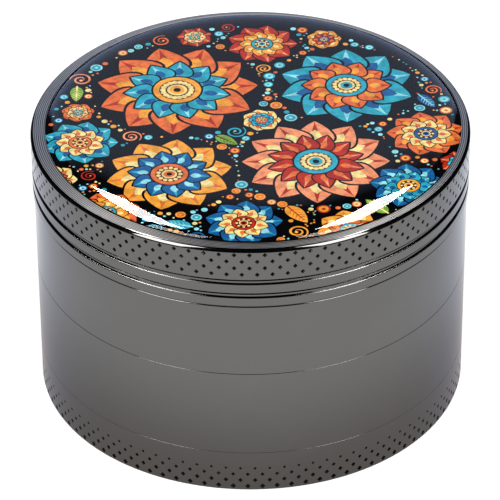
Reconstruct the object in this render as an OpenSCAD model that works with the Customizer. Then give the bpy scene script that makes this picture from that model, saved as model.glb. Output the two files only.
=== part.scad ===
// Four-piece herb grinder, 63 mm class: kief tray, sieve section, grinding chamber and lid.
// The sections screw together, and the lid is a loose cap held by two magnets.
// Origin: centre of the underside. +Z is up. Millimetres.
// Screw threads are drawn here as plain cylinders at their pitch radius.

/* [Sections] */
// Outer diameter of the tray, the sieve section and the grinding chamber
body_d = 62.6; // [58.4:0.1:75]
// Height of the kief tray that shows
tray_h = 6.7; // [6.2:0.1:12]
// Height of the sieve section that shows
sieve_h = 13.9; // [11:0.1:22]
// Height of the grinding chamber that shows, under the lid
chamber_h = 11.6; // [9:0.1:20]
// Bevel on the outer edges where the sections meet
joint_bevel = 0.15; // [0.05:0.05:0.4]

/* [Lid] */
// How far the lid stands out past the sections under it, all round
lid_overhang = 0.2; // [0:0.05:0.6]
// Height of the lid, from its lower edge to its flat rim
lid_h = 9.7; // [8.8:0.1:14]
// Gap between the lid's lower edge and the chamber's shoulder
seam_gap = 0.1; // [0.05:0.05:0.4]
// Thickness of the lid's skirt
skirt_t = 1.95; // [1.6:0.05:2.6]
// Thickness of the lid's top plate
lid_plate_t = 3; // [1.6:0.1:4]
// Rounding of the lid's top outer edge
lid_round = 0.5; // [0.3:0.1:1.1]
// Height of the lower grip groove's lip above the lid's lower edge
groove_lower_z = 1.55; // [1:0.05:2.2]
// Height of the upper grip groove's lip above the lid's lower edge
groove_upper_z = 3.8; // [3.2:0.05:4.6]
// Height of each grip groove
groove_h = 0.75; // [0.5:0.05:0.9]
// Depth of each grip groove
groove_depth = 0.25; // [0.2:0.05:0.45]

/* [Badge] */
// Width of the bare rim that a centred badge would leave on the lid's flat top
rim_w = 1.6; // [1.6:0.05:4]
// How far the badge was stuck on off the lid's centre, to +X
badge_offset = 0.5; // [0:0.05:0.5]
// Thickness of the printed disc
print_t = 0.2; // [0.1:0.05:0.4]
// Thickness of the clear resin dome at its middle
dome_t = 1.8; // [1.2:0.1:3]
// Angle at which the resin meets the edge of the print, in degrees
dome_edge_angle = 68; // [40:1:85]

/* [Screw joints] */
// Rise of the thread in one turn
thread_pitch = 1.5; // [1:0.1:1.6]
// Turns of thread that engage
thread_turns = 2.7; // [1.5:0.1:2.9]
// Thickness of the wall round a threaded socket
socket_wall_t = 2.6; // [2:0.1:3]
// Radial gap between a spigot and its socket
thread_clearance = 0.1; // [0.05:0.01:0.2]
// Thickness of a spigot's wall
spigot_t = 1.8; // [1.2:0.1:2.2]
// Gap between a spigot's end and what lies beyond it
spigot_end_gap = 0.5; // [0.2:0.1:1]
// Lead-in bevel on a spigot's end
spigot_lead = 0.4; // [0.1:0.1:0.8]

/* [Tray and sieve] */
// Thickness of the tray's floor
tray_floor_t = 1.4; // [1:0.1:2]
// Rounding inside the tray, between its floor and its wall
tray_fillet = 0.7; // [0.3:0.1:1]
// Thickness of the sieve section's wall, between its screen and its socket
sieve_wall_t = 4.2; // [3.4:0.1:5]
// Width of the ledge that the screen seats against
screen_ledge_w = 1.4; // [0.8:0.1:2]
// Height of the ledge over the screen
screen_ledge_t = 1.2; // [0.8:0.1:2]
// Height of the slope from the ledge up to the wall
screen_slope_h = 1.2; // [0.5:0.1:3]
// Thickness of the woven screen
screen_t = 0.2; // [0.1:0.05:0.4]
// Height of the ring that holds the screen in
screen_ring_h = 1.5; // [1:0.1:2]

/* [Grinding chamber] */
// Thickness of the chamber's perforated floor
chamber_floor_t = 2.6; // [1.8:0.1:4]
// Thickness of the chamber's wall
chamber_wall_t = 3.9; // [3.5:0.1:4.6]
// Radial gap between the chamber's collar and the lid's skirt
collar_gap = 0.25; // [0.1:0.05:0.4]
// Diameter of the holes in the chamber's floor
drop_hole_d = 3.6; // [2.5:0.1:3.8]
// Holes in the inner ring
drop_holes_inner = 12; // [6:1:14]
// Holes in the outer ring
drop_holes_outer = 18; // [10:1:24]
// Thickness of the nylon ring that the lid turns on
friction_ring_t = 0.9; // [0.5:0.1:1.4]

/* [Teeth] */
// Radius of the innermost ring of teeth
tooth_ring_r = 10; // [9:0.1:10.6]
// Distance from one ring of teeth to the next, chamber and lid by turns
tooth_ring_pitch = 4.2; // [3.8:0.05:4.4]
// Teeth in the chamber's inner ring
teeth_1 = 6; // [4:1:8]
// Teeth in the lid's inner ring
teeth_2 = 8; // [6:1:12]
// Teeth in the chamber's outer ring
teeth_3 = 10; // [8:1:16]
// Teeth in the lid's outer ring
teeth_4 = 12; // [8:1:20]
// Length of a diamond tooth's base, along its path
tooth_l = 4.6; // [3.4:0.1:5]
// Width of a diamond tooth's base, across its path
tooth_w = 3.2; // [2:0.1:3.6]
// Size of a tooth near its tip, as a share of its base
tooth_taper = 0.84; // [0.6:0.02:1]
// Height of the pointed tip of a tooth
tooth_tip_h = 0.8; // [0.3:0.1:1.5]
// Gap between the tips of the teeth and the face they point at
tooth_tip_gap = 1.5; // [0.5:0.1:3]

/* [Hubs and magnets] */
// Radius of the hub in the chamber and of the post in the lid
hub_r = 5.5; // [5:0.1:6.5]
// Height of the chamber's hub over its floor
hub_h = 4.4; // [3:0.1:7]
// Gap between the hub and the lid's post
hub_gap = 0.6; // [0.3:0.1:1.5]
// Diameter of the magnets
magnet_d = 8; // [6:0.5:9]
// Thickness of the magnets
magnet_t = 2; // [1:0.1:2.5]
// Radial gap round a magnet in its pocket
magnet_gap = 0.04; // [0.01:0.01:0.1]

/* [Hidden] */

$fn = 96;

body_r = body_d / 2;
lid_r = body_r + lid_overhang;
socket_r = body_r - socket_wall_t;
spigot_r = socket_r - thread_clearance;
spigot_bore_r = spigot_r - spigot_t;
spigot_l = thread_pitch * thread_turns;
socket_depth = spigot_l + spigot_end_gap;

// Heights of the faces where the sections meet
tray_top_z = tray_h;
sieve_top_z = tray_top_z + sieve_h;
chamber_top_z = sieve_top_z + chamber_h;
lid_bottom_z = chamber_top_z + seam_gap;
lid_top_z = lid_bottom_z + lid_h;

// Lid
lid_plate_z = lid_top_z - lid_plate_t;
skirt_r = lid_r - skirt_t;

// Badge
badge_r = lid_r - rim_w;
print_top_z = lid_top_z + print_t;
// Length that sets how fast a gravity-flattened drop levels out from its edge
drop_length = dome_t / (2 * sin(dome_edge_angle / 2));
dome_steps = 14;
dome_least_angle = 1.5;

// Chamber
chamber_floor_z = sieve_top_z + chamber_floor_t;
chamber_bore_r = body_r - chamber_wall_t;
collar_r = skirt_r - collar_gap;
collar_top_z = lid_plate_z - friction_ring_t;
tooth_h = lid_plate_z - chamber_floor_z - tooth_tip_gap;
hub_top_z = chamber_floor_z + hub_h;
post_end_z = hub_top_z + hub_gap;
magnet_r = magnet_d / 2;
pocket_r = magnet_r + magnet_gap;

// Teeth, from the innermost ring outwards
tooth_ring_2_r = tooth_ring_r + tooth_ring_pitch;
tooth_ring_3_r = tooth_ring_2_r + tooth_ring_pitch;
tooth_ring_4_r = tooth_ring_3_r + tooth_ring_pitch;

// Sieve
sieve_bore_r = body_r - sieve_wall_t;
screen_top_z = tray_top_z;
screen_ledge_r = spigot_bore_r - screen_ledge_w;
screen_ring_top_z = screen_top_z - screen_t;
ledge_top_z = screen_top_z + screen_ledge_t;
slope_top_z = ledge_top_z + screen_slope_h;

// Half profile of a turned block from z0 to z1, with its outer edges bevelled by low and high
module turned_profile(r, z0, z1, low, high) {
    foot = low > 0 ? [[r - low, z0], [r, z0 + low]] : [[r, z0]];
    head = high > 0 ? [[r, z1 - high], [r - high, z1]] : [[r, z1]];
    polygon(concat([[0, z0]], foot, head, [[0, z1]]));
}

// Half profile of a plain disc or bore
module disc_profile(r, z0, z1) {
    translate([0, z0]) square([r, z1 - z0]);
}

// A flat ring
module ring(inner_r, outer_r, z0, z1) {
    rotate_extrude() translate([inner_r, z0]) square([outer_r - inner_r, z1 - z0]);
}

// One grip groove from z up: square at its upper edge, rounded over at its lower lip
module groove_profile(z) {
    translate([lid_r - groove_depth, z])
        difference() {
            square([groove_depth + 1, groove_h]);
            circle(r = groove_depth, $fn = 48);
        }
}

// One diamond tooth on the plane z = 0, long side along X, with a bevelled tip
module tooth() {
    shank_h = tooth_h - tooth_tip_h;
    outline = [[tooth_l / 2, 0], [0, tooth_w / 2], [-tooth_l / 2, 0], [0, -tooth_w / 2]];
    linear_extrude(height = shank_h, scale = tooth_taper) polygon(outline);
    translate([0, 0, shank_h])
        linear_extrude(height = tooth_tip_h, scale = tooth_taper * 0.6)
            scale(tooth_taper) polygon(outline);
}

// A ring of teeth with a gap between two of them on +X
module tooth_ring(count, r) {
    for (i = [0 : count - 1])
        rotate([0, 0, (i + 0.5) * 360 / count])
            translate([r, 0, 0])
                rotate([0, 0, 90])
                    tooth();
}

// A ring of drop holes through the chamber's floor
module drop_hole_ring(count, r) {
    for (i = [0 : count - 1])
        rotate([0, 0, i * 360 / count])
            translate([r, 0, sieve_top_z - 1])
                cylinder(d = drop_hole_d, h = chamber_floor_t + 2, $fn = 32);
}

module kief_tray() {
    color("#6e6d6b")
        rotate_extrude()
            difference() {
                turned_profile(body_r, 0, tray_top_z, joint_bevel * 2, joint_bevel);
                translate([0, tray_floor_t]) {
                    disc_profile(socket_r - tray_fillet, 0, tray_h);
                    disc_profile(socket_r, tray_fillet, tray_h);
                    translate([socket_r - tray_fillet, tray_fillet])
                        circle(r = tray_fillet, $fn = 32);
                }
            }
}

module screen_ring() {
    color("#8d8d8c")
        ring(screen_ledge_r, spigot_bore_r - magnet_gap,
            screen_ring_top_z - screen_ring_h, screen_ring_top_z);
}

module sieve_screen() {
    color("#b9bcbe")
        ring(0, spigot_bore_r - magnet_gap, screen_ring_top_z, screen_top_z);
}

module sieve_section() {
    color("#6e6d6b")
        rotate_extrude()
            difference() {
                union() {
                    turned_profile(body_r, tray_top_z, sieve_top_z, joint_bevel, joint_bevel);
                    turned_profile(spigot_r, tray_top_z - spigot_l, tray_top_z + 1, spigot_lead, 0);
                }
                disc_profile(spigot_bore_r, tray_top_z - spigot_l - 1, screen_top_z);
                disc_profile(screen_ledge_r, screen_top_z - 1, ledge_top_z);
                polygon([
                    [0, ledge_top_z], [screen_ledge_r, ledge_top_z],
                    [sieve_bore_r, slope_top_z], [0, slope_top_z]
                ]);
                disc_profile(sieve_bore_r, slope_top_z, sieve_top_z + 1);
                disc_profile(socket_r, sieve_top_z - socket_depth, sieve_top_z + 1);
            }
}

module grinding_chamber() {
    color("#6e6d6b")
        difference() {
            rotate_extrude()
                difference() {
                    union() {
                        turned_profile(body_r, sieve_top_z, chamber_top_z, joint_bevel, joint_bevel);
                        turned_profile(spigot_r, sieve_top_z - spigot_l, sieve_top_z + 1, spigot_lead, 0);
                        turned_profile(collar_r, chamber_top_z - 1, collar_top_z, 0, joint_bevel);
                    }
                    disc_profile(spigot_bore_r, sieve_top_z - spigot_l - 1, sieve_top_z);
                    difference() {
                        disc_profile(chamber_bore_r, chamber_floor_z, collar_top_z + 1);
                        disc_profile(hub_r, chamber_floor_z - 1, hub_top_z);
                    }
                    disc_profile(pocket_r, hub_top_z - magnet_t, hub_top_z + 1);
                }
            drop_hole_ring(drop_holes_inner, tooth_ring_2_r);
            drop_hole_ring(drop_holes_outer, tooth_ring_4_r);
        }
}

module chamber_magnet() {
    color("#c3c4c6")
        ring(0, magnet_r, hub_top_z - magnet_t, hub_top_z);
}

module chamber_teeth_inner() {
    color("#6e6d6b")
        translate([0, 0, chamber_floor_z]) tooth_ring(teeth_1, tooth_ring_r);
}

module chamber_teeth_outer() {
    color("#6e6d6b")
        translate([0, 0, chamber_floor_z]) tooth_ring(teeth_3, tooth_ring_3_r);
}

module friction_ring() {
    color("#e9e7e0")
        ring(chamber_bore_r, collar_r - joint_bevel, collar_top_z, lid_plate_z);
}

module lid_shell() {
    color("#6e6d6b")
        rotate_extrude()
            difference() {
                union() {
                    turned_profile(lid_r, lid_bottom_z, lid_top_z - lid_round, joint_bevel, 0);
                    disc_profile(lid_r - lid_round, lid_top_z - lid_round - 1, lid_top_z);
                    translate([lid_r - lid_round, lid_top_z - lid_round])
                        circle(r = lid_round, $fn = 64);
                }
                difference() {
                    disc_profile(skirt_r, lid_bottom_z - 1, lid_plate_z);
                    disc_profile(hub_r, post_end_z, lid_plate_z + 1);
                }
                disc_profile(pocket_r, post_end_z - 1, post_end_z + magnet_t);
                groove_profile(lid_bottom_z + groove_lower_z);
                groove_profile(lid_bottom_z + groove_upper_z);
            }
}

module lid_teeth_inner() {
    color("#6e6d6b")
        translate([0, 0, lid_plate_z]) mirror([0, 0, 1]) tooth_ring(teeth_2, tooth_ring_2_r);
}

module lid_teeth_outer() {
    color("#6e6d6b")
        translate([0, 0, lid_plate_z]) mirror([0, 0, 1]) tooth_ring(teeth_4, tooth_ring_4_r);
}

module lid_magnet() {
    color("#c3c4c6")
        ring(0, magnet_r, post_end_z, post_end_z + magnet_t);
}

module badge_print() {
    color("#2b2f3a")
        translate([badge_offset, 0, 0])
            ring(0, badge_r, lid_top_z, print_top_z);
}

// Distance in from the edge, and depth under the crown, of a flattened drop's surface
// where it slopes by angle a
function drop_reach(a) = -drop_length * (ln(tan(a / 4)) + 2 * cos(a / 2));
function drop_depth(a) = 2 * drop_length * sin(a / 2);
function dome_angle(i) = dome_edge_angle * pow(dome_least_angle / dome_edge_angle, i / dome_steps);

module badge_dome() {
    start = drop_reach(dome_edge_angle);
    surface = [
        for (i = [0 : dome_steps])
            let (a = dome_angle(i))
            [badge_r - (drop_reach(a) - start), print_top_z + dome_t - drop_depth(a)]
    ];
    color("#5b6070", 0.4)
        translate([badge_offset, 0, 0])
            rotate_extrude()
                polygon(concat([[0, print_top_z]], surface, [[0, print_top_z + dome_t]]));
}

kief_tray();
screen_ring();
sieve_section();
sieve_screen();
chamber_magnet();
grinding_chamber();
chamber_teeth_inner();
chamber_teeth_outer();
friction_ring();
lid_shell();
lid_teeth_inner();
lid_teeth_outer();
lid_magnet();
badge_print();
badge_dome();
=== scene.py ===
"""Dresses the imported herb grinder: dented and threaded metal, print, resin dome and stage."""

import math
import random

import bpy
import numpy as np
from mathutils import Matrix, Vector
from mathutils.geometry import delaunay_2d_cdt


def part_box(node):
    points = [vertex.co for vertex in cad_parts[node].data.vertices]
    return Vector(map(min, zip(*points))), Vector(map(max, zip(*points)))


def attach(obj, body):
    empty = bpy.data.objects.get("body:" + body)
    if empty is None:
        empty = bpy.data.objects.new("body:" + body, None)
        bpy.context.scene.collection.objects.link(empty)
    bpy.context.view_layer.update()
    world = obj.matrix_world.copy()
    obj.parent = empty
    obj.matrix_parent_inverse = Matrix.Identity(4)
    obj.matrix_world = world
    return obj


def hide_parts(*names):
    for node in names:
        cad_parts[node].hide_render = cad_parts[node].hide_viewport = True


bl_info = {
    "name": "Herb grinder dressing",
    "version": (1, 0, 0),
    "blender": (4, 5, 0),
    "location": "3D View > Sidebar > Grinder",
    "description": "Builds the grinder's visible pieces, finishes and stage over its packed solids",
    "category": "Object",
}

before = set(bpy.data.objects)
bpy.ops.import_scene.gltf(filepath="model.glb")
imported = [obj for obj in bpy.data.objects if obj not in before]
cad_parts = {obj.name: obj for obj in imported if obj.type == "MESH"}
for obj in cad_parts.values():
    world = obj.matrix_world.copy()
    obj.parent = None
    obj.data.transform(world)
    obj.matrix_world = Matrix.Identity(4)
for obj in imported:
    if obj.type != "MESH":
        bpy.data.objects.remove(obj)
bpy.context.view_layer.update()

# Sizes below are in millimetres.
MM = 0.001
DENTS = 94                      # dents in one row round the lid or the tray
SEGMENTS = DENTS * 4            # columns of a turned wall, four to a dent's pitch
FRONT = -math.pi / 2            # angle of the side that faces -Y
FEED = 0.28                     # from one turning mark to the next
SPIGOT_R, SOCKET_R = 28.6, 28.7     # pitch radius of the threads outside and inside
SPIGOT_BORE, COLLAR_BORE = 26.8, 27.4
SOCKET_H = 4.55                 # depth of a threaded socket
LEDGE_R = 25.4                  # bore of the ledge under the screen, and of the screen's ring
POST_R = 5.5                    # the lid's post and the chamber's hub
HUB_SEGMENTS = 96               # columns of what stands on the axis
POCKET_GAP = 0.04               # between a magnet and its pocket
LID_GAP = 0.1                   # between the lid and the chamber's shoulder
TRAY_SEAM = 0.6                 # edges at the tray's seam, as a share of those at the seam above
POLISHED, TURNED, CAST, DENT_SHADE = range(4)      # finishes of a metal section, as METAL lists them


def box_mm(node):
    """Outer radius, lowest z and highest z of a CAD node, in millimetres."""
    low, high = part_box(node)
    return (high.y - low.y) / 2 / MM, low.z / MM, high.z / MM


# ----------------------------------------
# Sizes and colours that a user would change
# ----------------------------------------

def length(name, text, value):
    """A length in metres, given in millimetres."""
    return bpy.props.FloatProperty(
        name=name, description=text, default=value * MM, min=0.0,
        subtype="DISTANCE", unit="LENGTH", precision=5,
    )


def swatch(name, text, value):
    """A colour, given as an sRGB hex string."""
    return bpy.props.StringProperty(name=name, description=text, default=value)


class GRINDER_PG_walls(bpy.types.PropertyGroup):
    dent_w: length("Dent width", "Width of a diamond dent in the lid", 0.7)
    dent_h: length("Dent height", "Height of a diamond dent in the lid", 0.74)
    dent_depth: length("Dent depth", "Depth of a diamond dent at its point", 0.3)
    dent_row: length("Dent rows", "Distance from one row of dents to the next", 1.08)
    lid_dents_z: length("Lid dents", "Height of the lid's top row of dents", 41.0)
    tray_dents_z: length("Tray dents", "Height of the tray's lowest row of dents", 0.72)
    edge_break: length("Edge break", "Rounding of the metal's outer edges", 0.015)
    joint_break: length("Joint break", "Rounding of the edges where two sections meet", 0.07)
    seam_break: length("Seam break", "Rounding of the edges at the lid's seam", 0.23)
    lid_crown: length("Lid crown", "Radius of the crowned bevel round the lid's top", 0.98)
    lid_fall: length("Lid fall", "How far the turned rim slopes down to its bevel", 0.11)
    thread_pitch: length("Thread pitch", "Rise of a screw thread in one turn", 1.5)
    thread_depth: length("Thread depth", "Height of a thread from its root to its crest", 0.6)


class GRINDER_PG_badge(bpy.types.PropertyGroup):
    trim: length("Trim", "How far the badge stays inside its packed radius", 0.1)
    seed: bpy.props.IntProperty(
        name="Seed", description="Sets where the small motifs fall", default=11, min=0
    )
    orange: swatch("Orange", "Orange ink", "#e2703a")
    red: swatch("Red", "Red ink", "#b32d1d")
    cream: swatch("Cream", "Cream ink", "#f4dd92")
    teal: swatch("Teal", "Teal ink", "#2fa3bb")
    blue: swatch("Blue", "Blue ink", "#1c5d96")
    green: swatch("Green", "Green ink", "#7fae42")


class GRINDER_PG_finish(bpy.types.PropertyGroup):
    gunmetal: swatch("Gunmetal", "Colour of the plating", "#706f6e")
    edge_tint: swatch("Edge tint", "Tint of the plating at a low angle", "#f1f4ff")
    polish: bpy.props.FloatProperty(
        name="Polish", description="Roughness of the polished walls", default=0.07,
        min=0.0, max=1.0, subtype="FACTOR",
    )
    resin_ior: bpy.props.FloatProperty(
        name="Resin IOR", description="Refractive index of the clear resin", default=1.5,
        min=1.0, max=2.0,
    )


# ----------------------------------------
# Colours and nodes
# ----------------------------------------

def linear(code):
    """sRGB hex to a linear RGBA colour."""
    parts = [int(code[i:i + 2], 16) / 255 for i in (1, 3, 5)]
    return [c / 12.92 if c <= 0.04045 else ((c + 0.055) / 1.055) ** 2.4 for c in parts] + [1.0]


def shade(code, gain):
    """A hex colour made lighter or darker, as a linear colour."""
    return [c * gain for c in linear(code)[:3]] + [1.0]


def add(tree, kind, links=None, **settings):
    """Adds a shader node. Settings are its own properties, or inputs by name or number as in_NAME.
    A link comes from a socket, or from the first output that a node has in use."""
    made = tree.nodes.new("ShaderNode" + kind)
    for key in sorted(settings, key=lambda name: name.startswith("in_")):
        if key.startswith("in_"):
            slot = key[3:]
            slot = int(slot) if slot.isdigit() else slot.replace("_", " ")
            made.inputs[slot].default_value = settings[key]
        else:
            setattr(made, key, settings[key])
    for slot, source in (links or {}).items():
        if isinstance(source, bpy.types.Node):
            source = next(out for out in source.outputs if out.enabled)
        tree.links.new(source, made.inputs[slot])
    return made


def new_material(name):
    """An empty node material, and its object coordinates in millimetres."""
    made = bpy.data.materials.new(name)
    made.use_nodes = True
    tree = made.node_tree
    tree.nodes.clear()
    place = add(tree, "TexCoord").outputs["Object"]
    return made, tree, add(tree, "VectorMath", {0: place}, operation="SCALE",
                           in_Scale=1 / MM)


# ----------------------------------------
# Meshes: faces are gathered with a normal for each corner, then welded
# ----------------------------------------

class Sheet:
    """Gathers points, faces, corner normals and material numbers for one mesh, in millimetres.
    phase is the angle of a turned wall's first column."""

    def __init__(self, phase=0.0):
        self.points, self.faces, self.normals, self.slots = [], [], [], []
        self.count = 0
        self.phase = phase

    def angles(self, segments=SEGMENTS):
        """Angles of a turned wall's columns."""
        return self.phase + np.arange(segments) * 2 * math.pi / segments

    def add(self, points, faces, normals, slot=0):
        """normals holds one direction for each corner of each face, in the faces' order."""
        self.points.append(np.asarray(points, float))
        self.faces += [tuple(i + self.count for i in face) for face in faces]
        self.normals.append(np.asarray(normals, float).reshape(-1, 3))
        self.slots += [slot] * len(faces) if np.isscalar(slot) else list(slot)
        self.count += len(points)

    def make(self, name, materials):
        """The welded mesh object, in metres."""
        points = np.vstack(self.points)
        _, first, place = np.unique(
            np.round(points, 4), axis=0, return_index=True, return_inverse=True
        )
        place = place.reshape(-1)
        normals = np.vstack(self.normals)
        faces, kept, slots, at = [], [], [], 0
        for face, slot in zip(self.faces, self.slots):
            welded = [int(place[i]) for i in face]
            own = normals[at:at + len(face)]
            at += len(face)
            keep = [i for i in range(len(welded)) if welded[i] != welded[i - 1]]
            if len(keep) > 2 and len({welded[i] for i in keep}) > 2:
                faces.append([welded[i] for i in keep])
                kept += [own[i] for i in keep]
                slots.append(slot)
        mesh = bpy.data.meshes.new(name)
        mesh.from_pydata((points[first] * MM).tolist(), [], faces)
        mesh.polygons.foreach_set("material_index", slots)
        mesh.polygons.foreach_set("use_smooth", [True] * len(faces))
        for material in materials:
            mesh.materials.append(material)
        mesh.normals_split_custom_set([tuple(n) for n in kept])
        mesh.update()
        return linked(name, mesh)


def linked(name, data):
    """A new object in the scene."""
    made = bpy.data.objects.new(name, data)
    bpy.context.scene.collection.objects.link(made)
    return made


def arc(centre_r, centre_z, radius, start, end, steps=8):
    """Points of an arc in a half profile, angles in degrees from +R towards +Z."""
    turns = [math.radians(start + (end - start) * i / steps) for i in range(steps + 1)]
    return [(centre_r + radius * math.cos(a), centre_z + radius * math.sin(a)) for a in turns]


def profile(corners, slot=0):
    """Runs through the corners (r, z) of a half profile, each with its material's number. A
    corner's third value is the radius that rounds it, and its fourth the steps of that arc."""
    runs, at = [], corners[0]
    for (r, z, *soft), after in zip(corners[1:], [*corners[2:], None]):
        bend = [(r, z)]
        if soft:
            radius, steps = (*soft, 4)[:2]
            back, ahead = (math.degrees(math.atan2(end[1] - z, end[0] - r)) for end in (at, after))
            opening = (ahead - back + 180) % 360 - 180
            square = math.copysign(90, opening)
            middle = math.radians(back + opening / 2)
            reach = radius / abs(math.sin(math.radians(opening / 2)))
            bend = arc(r + reach * math.cos(middle), z + reach * math.sin(middle), radius,
                       back - square, back + opening - 3 * square, steps)
        if math.dist(at, bend[0]) > 1e-6:
            runs.append(([at, bend[0]], slot))
        if soft:
            runs.append((bend, slot))
        at = bend[-1]
    return runs


def run_normals(run):
    """Normals along a run of profile points, to the right of its direction of travel."""
    p = np.array(run, float)
    along = np.diff(p, axis=0)
    along /= np.maximum(np.linalg.norm(along, axis=1), 1e-12)[:, None]
    side = np.stack([along[:, 1], -along[:, 0]], 1)
    mean = np.vstack([side[:1], side[1:] + side[:-1], side[-1:]])
    return mean / np.linalg.norm(mean, axis=1)[:, None]


def turn(sheet, runs, segments=SEGMENTS, offset=(0.0, 0.0)):
    """Turns runs of (r, z) about Z. Material is on the left of each run as it travels, so a run
    goes up an outer wall, inwards over a top, down a bore and outwards under a floor."""
    turns = sheet.angles(segments)
    cos, sin = np.cos(turns), np.sin(turns)
    for run, slot in runs:
        points = [np.stack([r * cos + offset[0], r * sin + offset[1], np.full(segments, z)], 1)
                  for r, z in run]
        normals = [np.stack([r * cos, r * sin, np.full(segments, z)], 1)
                   for r, z in run_normals(run)]
        grid(sheet, np.array(points), np.array(normals), slot)


def grid(sheet, points, normals, slot=0):
    """Adds a closed band: rows of points round the axis, each row joined to the next."""
    rows, columns = points.shape[:2]
    i = np.arange(rows - 1)[:, None] * columns
    j = np.arange(columns)[None, :]
    k = (j + 1) % columns
    faces = np.stack([i + j, i + k, i + columns + k, i + columns + j], -1).reshape(-1, 4)
    flat = normals.reshape(-1, 3)
    sheet.add(points.reshape(-1, 3), faces.tolist(), flat[faces.ravel()], slot)


def cut(points, edges, shapes, near, least, up=True):
    """Cuts a plane drawing into triangles that face up, or down, without slivers. Returns the
    points, the triangles, and the shapes that hold each."""
    made = delaunay_2d_cdt([Vector(p) for p in points], edges, shapes, 0, near)
    flat = np.array([tuple(p) for p in made[0]])
    triangles, holders = [], []
    for face, within in zip(made[2], made[5]):
        a, b, c = (flat[i] for i in face)
        turned = (b[0] - a[0]) * (c[1] - a[1]) - (b[1] - a[1]) * (c[0] - a[0])
        if abs(turned) > least:
            triangles.append(tuple(face) if (turned > 0) == up else tuple(reversed(face)))
            holders.append(within)
    return flat, triangles, holders


# ----------------------------------------
# Diamond dents, screw threads and drilled floors
# ----------------------------------------

def dent_band(sheet, radius, low, high, rows, depth):
    """A wall between two heights with rows of pyramid dents, each row (z, width, height, shift in
    pitches). One pitch is cut into triangles and repeated."""
    pitch = 2 * math.pi * radius / DENTS
    points, edges, tips = [], [], []

    def chain(loop, closed=True):
        first = len(points)
        points.extend(loop)
        last = len(loop) if closed else len(loop) - 1
        edges.extend((first + i, first + (i + 1) % len(loop)) for i in range(last))

    for u in (-0.25, 0.25, 0.75):
        chain([(u * pitch, z) for z in (low, high)], False)
    for z in (low, high):
        chain([(u * pitch, z) for u in (-0.25, 0.0, 0.25, 0.5, 0.75)], False)
    for z, width, height, shift in rows:
        u = shift * pitch
        tips.append((u, z, width, height))
        chain([(u + width / 2, z), (u, z + height / 2), (u - width / 2, z), (u, z - height / 2)])
        points.append((u, z))
        tip = len(points) - 1
        edges.extend((tip, tip - 4 + i) for i in range(4))
    for z in sorted(row[0] for row in rows):
        points.extend((u * pitch, z) for u in (-0.25, 0.75))
    flat, triangles, _ = cut(points, edges, [], 1e-5, 1e-7)
    sunk = np.zeros(len(flat))
    for u, z, width, height in tips:
        away = np.abs(flat[:, 0] - u) / (width / 2) + np.abs(flat[:, 1] - z) / (height / 2)
        away[away > 0.999] = 1.0
        sunk = np.maximum(sunk, np.clip(1 - away, 0, 1) * depth * width / rows[0][1])
    in_dent = [max(sunk[list(t)]) > 0 for t in triangles]
    slots = [DENT_SHADE if dented else POLISHED for dented in in_dent]
    r = radius - sunk
    for step in range(DENTS):
        turned = sheet.phase + flat[:, 0] / radius + step * 2 * math.pi / DENTS
        radial = np.stack([np.cos(turned), np.sin(turned), 0 * turned], 1)
        place = radial * r[:, None]
        place[:, 2] = flat[:, 1]
        normals = []
        for triangle, dented in zip(triangles, in_dent):
            if dented:
                a, b, c = (place[i] for i in triangle)
                n = np.cross(b - a, c - a)
                normals += [n / np.linalg.norm(n)] * 3
            else:
                normals += [radial[i] for i in triangle]
        sheet.add(place, triangles, normals, slots)


def thread(sheet, walls, radius, low, high, outside, fade_low, fade_high):
    """A right-handed thread on a spigot (outside) or in a socket, fading to the plain radius."""
    pitch, height = walls.thread_pitch / MM, walls.thread_depth / MM
    rows = max(2, int(round((high - low) / 0.1)))
    z = np.linspace(low, high, rows + 1)[:, None]
    turned = sheet.angles()[None, :]
    phase = (z - pitch * turned / (2 * math.pi)) / pitch * 2 * math.pi
    wave = np.clip(1.35 * np.cos(phase), -0.8, 0.8) / 0.8
    lift = np.clip((z - low) / fade_low, 0, 1) * np.clip((high - z) / fade_high, 0, 1)
    r = radius + wave * lift * height / 2
    place = np.stack([r * np.cos(turned), r * np.sin(turned), z + 0 * turned], -1)
    normals = np.cross(np.roll(place, -1, 1) - np.roll(place, 1, 1), np.gradient(place, axis=0))
    normals /= np.linalg.norm(normals, axis=-1)[..., None]
    if outside:
        grid(sheet, place, normals, CAST)
    else:
        grid(sheet, place[::-1], -normals[::-1], CAST)


def plate(sheet, z, inner, outer, inner_segments, holes, hole_r, up):
    """A flat ring with round holes, facing up or down."""
    points, edges = [], []

    def circle(x, y, r, count):
        first = len(points)
        points.extend((x + r * math.cos(a), y + r * math.sin(a)) for a in sheet.angles(count))
        edges.extend((first + i, first + (i + 1) % count) for i in range(count))

    def open_at(triangle):
        """Whether a triangle lies in the ring's bore or in a hole."""
        x, y = flat[list(triangle)].mean(0)
        if inner and math.hypot(x, y) < inner * math.cos(math.pi / inner_segments):
            return True
        return any(math.hypot(x - u, y - v) < hole_r * 0.995 for u, v in holes)

    circle(0, 0, outer, SEGMENTS)
    if inner:
        circle(0, 0, inner, inner_segments)
    for x, y in holes:
        circle(x, y, hole_r, 32)
    flat, triangles, _ = cut(points, edges, [], 1e-6, 1e-9, up)
    triangles = [t for t in triangles if not open_at(t)]
    place = np.column_stack([flat, np.full(len(flat), z)])
    sheet.add(place, triangles, [(0, 0, 1 if up else -1)] * (3 * len(triangles)), CAST)


# ----------------------------------------
# Materials
# ----------------------------------------

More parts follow.
